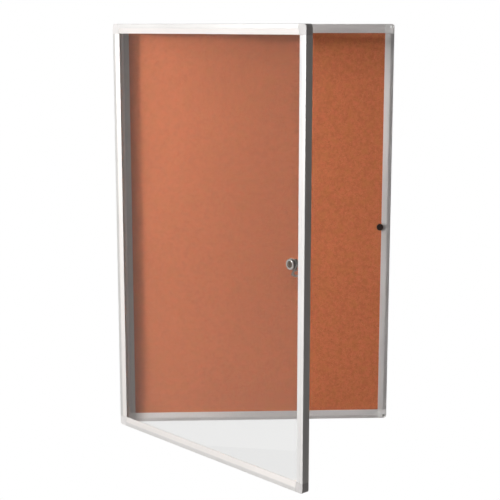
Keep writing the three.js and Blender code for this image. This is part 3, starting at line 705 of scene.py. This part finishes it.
def frameMember(kind, side, profile):
    node = kind + "_" + side
    turn = memberTurns[side]
    low, high = shutBox(node, turn)
    width, depth = high.z - low.z, high.y - low.y
    wall, inner = profile.wall, profile.wall + profile.chamber
    front, back = profile.frontWall, depth - profile.recess - profile.wall
    outline = section(profile, width, depth, True)
    chamber = [(wall, front), (inner, front), (inner, back), (wall, back)]
    loops = [[(low.x, y, z) for z, y in points] for points in (outline, chamber)]
    shape = extruded(loops, Vector((high.x - low.x, 0, 0)))
    roundEdges(shape, alongLine(y=0, z=0), profile.edgeRound, profile.roundSteps)
    soften(shape, profile.soften)
    addPiece(node, shape, turnedBy(turn) @ Matrix.Translation((0, low.y, low.z)))


for side in memberTurns:
    frameMember("case", side, caseProfile)
    frameMember("door", side, doorProfile)
print("frame members: 8")

# Corner pieces

cornerValues = inMetres({
    "outerRadius": 6, "radiusSteps": 10, "clearance": 0.3, "soften": 0.25, "legLength": 24, "legChamfer": 1.5,
    "holeInset": 6.2, "holeRadius": 2.8, "sinkRadius": 3.8, "sinkDepth": 1, "overrun": 1, "holeSteps": 32})
cornerTurns = {"bottom_left": 0, "top_left": 90, "top_right": 180, "bottom_right": -90}


def cornerLegs(profile, size, back):
    # Two legs that fill the chambers of the members, with chamfered tips.
    gap, chamfer = cornerValues.clearance, cornerValues.legChamfer
    front, outer = profile.frontWall + gap, profile.wall + gap
    inner, tip = profile.wall + profile.chamber - gap, size + cornerValues.legLength
    start = outer + cornerValues.outerRadius
    points = [(start, outer), (tip - chamfer, outer), (tip, outer + chamfer), (tip, inner - chamfer),
              (tip - chamfer, inner), (inner, inner), (inner, tip - chamfer), (inner - chamfer, tip),
              (outer + chamfer, tip), (outer, tip - chamfer), (outer, start)]
    return plate([points], front, back - front)


def cornerPiece(kind, corner, profile):
    node = kind + "_corner_" + corner
    turn = cornerTurns[corner]
    values = cornerValues
    railLow, railHigh = shutBox(kind + "_rail_bottom")
    size = railLow.x - shutBox(kind + "_corner_bottom_left")[0].x - values.clearance
    width, depth = railHigh.z - railLow.z, railHigh.y - railLow.y
    outline = section(profile, width, depth, False)
    shape = extruded([[(0, y, z) for z, y in outline]], Vector((size, 0, 0)))
    # One arm is cut along the mitre, and its mirror image closes the corner.
    bmesh.ops.bisect_plane(shape, geom=allOf(shape), plane_co=(0, 0, 0), plane_no=(-1, 0, 1),
                           clear_outer=True)
    twin = bmesh.ops.duplicate(shape, geom=allOf(shape))["geom"]
    swapped = Matrix(((0, 0, 1, 0), (0, 1, 0, 0), (1, 0, 0, 0), (0, 0, 0, 1)))
    bmesh.ops.transform(shape, matrix=swapped, verts=onlyVerts(twin))
    bmesh.ops.remove_doubles(shape, verts=shape.verts[:], dist=0.002 * mm)
    faceOutwards(shape)
    joinFlats(shape)
    for inset in (profile.wall, 0) if profile.recess else (0,):
        roundEdges(shape, alongLine(x=inset, z=inset), values.outerRadius - inset, values.radiusSteps)
    nearlyUpright = 0.1

    def frontRim(edge):
        # The front edges of the upright faces, but not those towards the members.
        places = [vertex.co for vertex in edge.verts]
        onFront = all(abs(place.y) < touch for place in places)
        upright = min(abs(face.normal.y) for face in edge.link_faces) < nearlyUpright
        return onFront and upright and max(place.x + place.z for place in places) < size + 0.1 * mm

    roundEdges(shape, frontRim, profile.edgeRound, profile.roundSteps)
    soften(shape, values.soften)
    back = depth - profile.recess - profile.wall - values.clearance
    shape = combined(shape, cornerLegs(profile, size, back), "UNION")
    if kind == "case":
        sink, hole, front, end = values.sinkRadius, values.holeRadius, -values.overrun, depth + values.overrun
        drill = spun([(0, front), (sink, front), (sink, 0), (hole, values.sinkDepth), (hole, end), (0, end)],
                     values.holeSteps)
        moved(drill, Matrix.Translation((values.holeInset, 0, values.holeInset)))
        shape = combined(shape, drill, "DIFFERENCE")
    addPiece(node, shape, turnedBy(turn) @ Matrix.Translation(shutBox(node, turn)[0]))


for corner in cornerTurns:
    cornerPiece("case", corner, caseProfile)
    cornerPiece("door", corner, doorProfile)
print("corner pieces: 8")

# The board and its back

boardValues = inMetres({
    "shankHole": 2.8, "holeSteps": 24, "cornerRadius": 4.2, "cornerSteps": 8, "soften": 0.15,
    "fixingInset": 6.2, "fixingHole": 2.8, "screwHole": 1.6, "screwSink": 2.9})
keeperPlace = middleOf("keeper_stud")


def corkBoard():
    low, high = shutBox("cork_sheet")
    hole = circle((keeperPlace.x, keeperPlace.z), boardValues.shankHole, boardValues.holeSteps)
    shape = plate([rectangle(low, high), hole], low.y, high.y - low.y)
    soften(shape, boardValues.soften)
    addPiece("cork_sheet", shape)


def backSheet():
    values = boardValues
    low, high = shutBox("back_sheet")
    thickness = high.y - low.y
    outlines = [rectangle(low, high, values.cornerRadius, values.cornerSteps)]
    out, up = cadBox[1][0] - values.fixingInset, cadBox[1][2] - values.fixingInset
    for place in ((-out, -up), (-out, up), (out, -up), (out, up)):
        outlines.append(circle(place, values.fixingHole, values.holeSteps))
    shape = plate(outlines, low.y, thickness)
    soften(shape, values.soften)
    hole, sink, front, end = values.screwHole, values.screwSink, low.y - thickness, high.y + thickness
    for node in sorted(nodes):
        if node.startswith("back_screw"):
            drill = spun([(0, front), (hole, front), (hole, low.y), (sink, high.y), (sink, end), (0, end)],
                         values.holeSteps)
            shape = combined(shape, moved(drill, over(middleOf(node))), "DIFFERENCE")
    addPiece("back_sheet", shape)


corkBoard()
backSheet()
print("board: cork sheet and back sheet")

# Countersunk screws

hingeScrew = {"headRadius": 2.1, "headHeight": 0.6, "shankRadius": 1.3, "length": 6, "edge": 0.08,
              "threadPitch": 0.9, "recessSpan": 2.2, "recessWidth": 0.5, "recessDepth": 0.5, "roundSteps": 32}
screwKinds = {
    "back_screw": {"headRadius": 2.6, "headHeight": 1.1, "shankRadius": 1.3, "length": 6, "edge": 0.12,
                   "threadPitch": 0.9, "recessSpan": 2.4, "recessWidth": 0.55, "recessDepth": 0.7,
                   "roundSteps": 32, "turnAngle": 180},
    "case_hinge_screw": dict(hingeScrew, turnAngle=0),
    "door_hinge_screw": dict(hingeScrew, turnAngle=180),
}


def countersunkScrew(values):
    # Its head lies at zero depth and its point is further in. The thread's root is 0.8 of its crest.
    pitch, shank, root = values.threadPitch, values.shankRadius, values.shankRadius * 0.8
    profile = [(0, 0), (values.headRadius - values.edge, 0), (values.headRadius, values.edge),
               (shank, values.headHeight)]
    depth = values.headHeight + pitch
    while depth < values.length - pitch:
        profile += [(root, depth), (shank, depth + pitch / 2)]
        depth += pitch
    profile += [(root, depth), (0, values.length)]
    return combined(spun(profile, values.roundSteps), crossRecess(values, 0), "DIFFERENCE")


for kind, kindValues in screwKinds.items():
    values = inMetres(kindValues)
    pattern = countersunkScrew(values)
    turn = Matrix.Rotation(math.radians(values.turnAngle), 4, "Z")
    for node in sorted(nodes):
        if node.startswith(kind):
            low, high = shutBox(node)
            face = high.y if values.turnAngle else low.y
            place = Matrix.Translation(((low.x + high.x) / 2, face, (low.z + high.z) / 2))
            addPiece(node, pattern.copy(), place @ turn)
    pattern.free()
print("screws: 20")

# Keeper stud and nuts

keeperValues = inMetres({
    "headRadius": 7.5, "headThickness": 2.4, "headDome": 0.5, "domeSteps": 6, "neckRadius": 3,
    "collarRadius": 4, "collarThickness": 1, "collarGap": 0.3, "shankRadius": 2.5, "roundSteps": 64,
    "soften": 0.15, "nutBore": 2.8, "nutChamfer": 0.5, "nutSteps": 48})


def hexNut(node, values):
    # A six-sided nut with turned chamfers on both faces.
    low, high = shutBox(node)
    bore, chamfer, steps = values.nutBore, values.nutChamfer, values.nutSteps
    apex = (high.x - low.x) / 2
    flats, wide = apex * math.cos(math.pi / 6), apex + 0.1 * mm
    body = plate([arc((0, 0), apex, 0, 300, 5), circle((0, 0), bore, steps)], low.y, high.y - low.y)
    lathe = spun([(0, low.y - chamfer), (flats, low.y - touch), (wide, low.y + chamfer),
                  (wide, high.y - chamfer), (flats, high.y + touch), (0, high.y + chamfer)], steps)
    addPiece(node, combined(body, lathe, "INTERSECT"), over(middleOf(node)))


def keeper():
    values = keeperValues
    low, high = shutBox("keeper_stud")
    headBack = low.y + values.headThickness
    collarBack = shutBox("cork_sheet")[0].y - values.collarGap
    collarFront = collarBack - values.collarThickness
    head, neck, collar, shank = values.headRadius, values.neckRadius, values.collarRadius, values.shankRadius
    profile = quarterRound(0, head, low.y, values.headDome, values.domeSteps)
    profile += [(head, headBack), (neck, headBack), (neck, collarFront), (collar, collarFront),
                (collar, collarBack), (shank, collarBack), (shank, high.y), (0, high.y)]
    shape = spun(profile, values.roundSteps)
    soften(shape, values.soften, 3)
    addPiece("keeper_stud", shape, over(keeperPlace))
    hexNut("keeper_nut", values)


keeper()
print("keeper: stud and nut")

# Continuous hinge

hingeValues = inMetres({
    "knuckleRadius": 2.8, "knuckleBore": 1.6, "leafThickness": 0.7, "fixedLeafFront": 0.2,
    "movingLeafFront": -0.9, "clearance": 0.3, "tab": 1, "reach": 11, "knuckleCount": 21, "roundSteps": 28,
    "soften": 0.1, "pinRadius": 1.25, "pinDome": 0.3})
atPin = Matrix.Translation((hingePlace.x, hingePlace.y, 0))


def hingeLeaf(node, first, front):
    # A leaf with every second knuckle, from the first or the second one up.
    values = hingeValues
    low, high = shutBox(node)
    count, radius, bore = values.knuckleCount, values.knuckleRadius, values.knuckleBore
    pitch = (high.z - low.z) / count
    half = (pitch - values.clearance) / 2
    near, far = radius - values.tab, radius + values.clearance
    outline = [(values.reach, low.z), (values.reach, high.z), (far, high.z)]
    middles = {i: (i - (count - 1) / 2) * pitch for i in range(first, count, 2)}
    for middle in reversed(middles.values()):
        top, bottom = min(middle + half, high.z - touch), max(middle - half, low.z + touch)
        outline += [(far, top), (near, top), (near, bottom), (far, bottom)]
    outline.append((far, low.z))
    leaf = plate([outline], front, values.leafThickness)
    soften(leaf, values.soften)
    knuckle = spun([(bore, -half), (radius, -half), (radius, half), (bore, half)], values.roundSteps, "Z")
    soften(knuckle, values.soften)
    pattern = meshed(knuckle)
    row = bmesh.new()
    for middle in middles.values():
        before = len(row.verts)
        row.from_mesh(pattern)
        row.verts.ensure_lookup_table()
        bmesh.ops.translate(row, vec=(0, 0, middle), verts=row.verts[before:])
    bpy.data.meshes.remove(pattern)
    addPiece(node, combined(leaf, row, "UNION"), atPin)


def hingePin():
    low, high = shutBox("hinge_pin")
    radius, dome = hingeValues.pinRadius, hingeValues.pinDome
    tip, base, top = radius * 0.7, low.z, high.z
    profile = [(0, base), (tip, base), (radius, base + dome), (radius, top - dome), (tip, top), (0, top)]
    addPiece("hinge_pin", spun(profile, hingeValues.roundSteps, "Z"), atPin)


hingeLeaf("hinge_fixed_leaf", 0, hingeValues.fixedLeafFront)
hingeLeaf("hinge_moving_leaf", 1, hingeValues.movingLeafFront)
hingePin()
print("hinge: two leaves and a pin")

# The pane

paneValues = inMetres({
    "cornerRadius": 1.5, "cornerSteps": 4, "hole": 8.3, "holeSteps": 48, "edgePolish": 0.35})
lockPlace = middleOf("lock_washer")


def pane():
    low, high = shutBox("pane")
    outline = rectangle(low, high, paneValues.cornerRadius, paneValues.cornerSteps)
    hole = circle((lockPlace.x, lockPlace.z), paneValues.hole, paneValues.holeSteps)
    shape = plate([outline, hole], low.y, high.y - low.y)
    soften(shape, paneValues.edgePolish)
    addPiece("pane", shape, name="clearPane")


pane()
print("pane")

# Cam lock

lockValues = inMetres({
    "flangeRadius": 10.5, "flangeRound": 1, "flangeSteps": 6, "flangeGap": 0.3, "barrelRadius": 8,
    "barrelChamfer": 0.3, "threadDepth": 0.45, "threadPitch": 1.2, "bore": 5.3, "mouth": 6.5,
    "mouthDepth": 1.2, "rimStep": 0.35, "plugRadius": 5, "plugLip": 6.2, "lipRound": 0.2, "lipDepth": 0.9,
    "dish": 0.35, "keyWidth": 1.3, "keyHeight": 6.4, "keyDepth": 8, "tail": 6, "tailRound": 0.4,
    "tailOverlap": 1, "tailBore": 1.7, "boreDepth": 7, "boreSteps": 24, "roundSteps": 64,
    "washerRadius": 11.4, "washerBore": 8.3, "nutBore": 8.3, "nutChamfer": 0.9, "nutSteps": 64,
    "soften": 0.15})
camValues = inMetres({
    "hub": 9, "hook": 19, "slotHalf": 3.5, "rim": 4, "eye": 6.6, "trailAngle": 25, "leadAngle": 21,
    "arcSteps": 14, "hubSteps": 40, "soften": 0.2, "screwHead": 4.2, "screwHeadDepth": 1.4, "screwShank": 1.3,
    "screwPoint": 0.4, "screwSteps": 40, "recessSpan": 4, "recessWidth": 0.9, "recessDepth": 0.8})
lockSmoothAngle = 30


def lockHousing():
    values = lockValues
    low, high = shutBox("lock_housing")
    paneFront, depth = (corner.y for corner in shutBox("pane"))
    flangeBack, mouthBack = paneFront - values.flangeGap, low.y + values.mouthDepth
    barrel, pitch, bend = values.barrelRadius, values.threadPitch, values.flangeRound
    profile = [(values.bore, mouthBack), (values.mouth, mouthBack), (values.mouth, low.y + values.rimStep),
               (values.mouth + values.rimStep, low.y)]
    profile += quarterRound(values.flangeRadius - bend, bend, low.y, bend, values.flangeSteps)
    profile += [(values.flangeRadius, flangeBack), (barrel, flangeBack)]
    while depth < high.y - pitch:
        profile += [(barrel, depth), (barrel - values.threadDepth, depth + pitch / 2)]
        depth += pitch
    profile += [(barrel, depth), (barrel - values.barrelChamfer, high.y), (values.bore, high.y)]
    addPiece("lock_housing", spun(profile, values.roundSteps), over(lockPlace), lockSmoothAngle)


def lockWasher():
    low, high = shutBox("lock_washer")
    bore, radius = lockValues.washerBore, lockValues.washerRadius
    shape = spun([(bore, low.y), (radius, low.y), (radius, high.y), (bore, high.y)], lockValues.roundSteps)
    soften(shape, lockValues.soften)
    addPiece("lock_washer", shape, over(lockPlace))


def lockPlug():
    values = lockValues
    low, high = shutBox("lock_plug")
    front, end = low.y, shutBox("lock_housing")[1].y
    dished, lipBack = front + values.dish, front + values.lipDepth
    lip, radius = values.plugLip, values.plugRadius
    profile = [(0, dished), (lip * 0.6, dished), (lip * 0.8, front), (lip - values.lipRound, front),
               (lip, front + values.lipRound), (lip, lipBack), (radius, lipBack), (radius, end), (0, end)]
    tailLength = high.y - end + values.tailOverlap
    tail = block((values.tail, tailLength, values.tail), (0, high.y - tailLength / 2, 0))
    soften(tail, values.tailRound, 3)
    body = combined(spun(profile, values.roundSteps), tail, "UNION")
    keyway = block((values.keyWidth, 2 * values.keyDepth, values.keyHeight), (0, front, 0))
    body = combined(body, keyway, "DIFFERENCE")
    bore, inside, outside = values.tailBore, high.y - values.boreDepth, high.y + values.tailOverlap
    drill = spun([(0, inside), (bore, inside), (bore, outside), (0, outside)], values.boreSteps)
    addPiece("lock_plug", combined(body, drill, "DIFFERENCE"), over(lockPlace), lockSmoothAngle)


def lockCam():
    # A hub and a hooked arm, whose curved slot opens on the leading side.
    values = camValues
    low, high = shutBox("lock_cam")
    hook, half, steps = values.hook, values.slotHalf, values.arcSteps
    trail, mouth = -90 - values.trailAngle, -90 + values.leadAngle
    outline = arc((0, 0), values.hub, mouth, trail + 360, values.hubSteps)
    outline += arc((0, 0), hook + half + values.rim, trail, mouth, steps)
    outline += arc((0, 0), hook + half, mouth, -90, steps)
    outline += arc((0, -hook), half, 270, 90, steps)[1:-1]
    outline += arc((0, 0), hook - half, -90, mouth, steps)
    eye = values.eye / 2
    hole = [(-eye, -eye), (eye, -eye), (eye, eye), (-eye, eye)]
    shape = plate([outline, hole], low.y, high.y - low.y)
    soften(shape, values.soften)
    addPiece("lock_cam", shape, over(lockPlace))


def camScrew():
    values = camValues
    low, high = shutBox("lock_cam_screw")
    head, thick, shank = values.screwHead, values.screwHeadDepth, values.screwShank
    base = high.y - thick
    side = base + thick * 0.35
    profile = [(0, low.y), (shank, low.y + values.screwPoint), (shank, base), (head, base), (head, side)]
    for angle in (20, 40, 60, 75):
        turn = math.radians(angle)
        profile.append((head * math.cos(turn), side + thick * 0.65 * math.sin(turn)))
    profile.append((0, high.y))
    screw = combined(spun(profile, values.screwSteps), crossRecess(values, high.y), "DIFFERENCE")
    addPiece("lock_cam_screw", screw, over(lockPlace))


lockHousing()
lockWasher()
hexNut("lock_nut", lockValues)
lockPlug()
lockCam()
camScrew()
print("lock: housing, washer, nut, plug, cam and cam screw")

# The CAD nodes that stay take their finishes too.
for node, holder in nodes.items():
    holder.data.materials.clear()
    holder.data.materials.append(finishOf(node))

# Floor, backdrop and world

stageValues = {"floorDepth": 1.6, "floorSize": 1200.0, "floorColour": (0.86, 0.85, 0.84), "floorRough": 0.9,
               "backdrop": 1.0, "throughPane": 0.93, "fill": 0.005, "fillColour": (1.0, 0.98, 0.96)}
stage = SimpleNamespace(**stageValues)
white = (1, 1, 1)


def seenStraight(tree):
    # Where the backdrop is seen, as it is or through the pane, and how bright. Bounced light doesn't see it.
    path = put(tree, "LightPath").outputs
    bounced = calc(tree, "ADD", path["Diffuse Depth"], path["Glossy Depth"])
    unturned = calc(tree, "LESS_THAN", bounced, 0.5)
    looked = calc(tree, "MAXIMUM", path["Is Camera Ray"], path["Is Transmission Ray"])
    strength = ranged(tree, path["Is Camera Ray"], stage.throughPane, stage.backdrop)
    return calc(tree, "MULTIPLY", unturned, looked), strength


def paper(tree, look):
    # A matt pale floor that glows where the backdrop is seen.
    surfaced(tree, look.floorColour, look.floorRough)
    straight, strength = seenStraight(tree)
    blendOver(tree, straight, put(tree, "Emission", {"Color": white, "Strength": strength}).outputs[0])


def paleFloor():
    shape = bmesh.new()
    bmesh.ops.create_grid(shape, x_segments=4, y_segments=4, size=stage.floorSize / 2)
    bmesh.ops.translate(shape, vec=(0, 0, -stage.floorDepth), verts=shape.verts[:])
    floor = placed("floor", meshed(shape, "floor"))
    floor.data.materials.append(made("pale floor", paper, stageValues))


def paleWorld():
    world = bpy.data.worlds.new("studio")
    scene.world = world
    world.use_nodes = True
    tree = world.node_tree
    tree.nodes.clear()
    straight, strength = seenStraight(tree)
    fillLight = {"Color": stage.fillColour, "Strength": stage.fill}
    dim = put(tree, "Background", fillLight).outputs[0]
    bright = put(tree, "Background", {"Color": white, "Strength": strength}).outputs[0]
    both = put(tree, "MixShader", {0: straight, 1: dim, 2: bright}).outputs[0]
    put(tree, "OutputWorld", {"Surface": both})


paleFloor()
paleWorld()

# Lights and camera

neutral, warm, cream, rosy = (1.0, 0.99, 0.98), (1.0, 0.98, 0.96), (1.0, 0.98, 0.97), (1.0, 0.87, 0.82)
# Each light's place, the point that it faces, its width and height, its power in watts and its colour.
lightValues = {
    "keyLight": ((-1.73, -1.15, 0.54), (0, 0, 0), (0.12, 0.12), 31.5, neutral),
    "leftPanel": ((-2.8, -0.3, 0.25), (-0.05, -0.25, -0.1), (3.8, 3.4), 13.5, neutral),
    "highPanel": ((-2.5, -0.5, 1.7), (-0.05, -0.2, 0), (2.4, 1.4), 12, neutral),
    "lowStrip": ((-2.3, -0.95, -0.9), (0, -0.25, -0.2), (0.8, 0.8), 4, warm),
    "lowPanel": ((-1.2, -1.0, -1.5), (0, -0.2, 0), (1.6, 1.2), 3, warm),
    "topPanel": ((-0.2, -0.9, 2.7), (0, -0.15, 0), (2.0, 1.4), 10, neutral),
    "frontPanel": ((0.1, -3.9, 1.0), (0, 0, 0), (2.0, 1.6), 4, cream),
    "rightPanel": ((2.8, -1.2, 0.8), (0, -0.2, 0), (2.0, 2.0), 2.2, rosy),
    "backPanel": ((1.8, 2.9, 0.9), (0, 0, 0), (2.0, 2.0), 34, neutral),
    "backLeft": ((-1.6, 3.0, 0.5), (0, 0, 0), (1.6, 1.6), 18, neutral),
}
for name, (place, aim, size, watts, colour) in lightValues.items():
    lamp = bpy.data.lights.new(name, "AREA")
    lamp.shape = "RECTANGLE"
    lamp.size, lamp.size_y = size
    lamp.energy = watts
    lamp.color = colour
    holder = placed(name, lamp)
    holder.location = place
    holder.rotation_euler = (Vector(aim) - holder.location).to_track_quat("-Z", "Y").to_euler()

cameraValues = {"place": (-0.1478, -2.82901, 0.44604), "pitch": 11.136, "yaw": -2.6559, "lens": 91.148,
                "sensor": 36, "shift": 0.05}
cameraData = bpy.data.cameras.new("photo camera")
cameraData.lens = cameraValues["lens"]
cameraData.sensor_width = cameraValues["sensor"]
cameraData.shift_y = cameraValues["shift"]
camera = placed("photo camera", cameraData)
camera.location = cameraValues["place"]
camera.rotation_euler = (math.radians(90 - cameraValues["pitch"]), 0, math.radians(cameraValues["yaw"]))
scene.camera = camera
scene.view_settings.view_transform = "Standard"
print("stage: floor, %d lights and the camera" % len(lightValues))
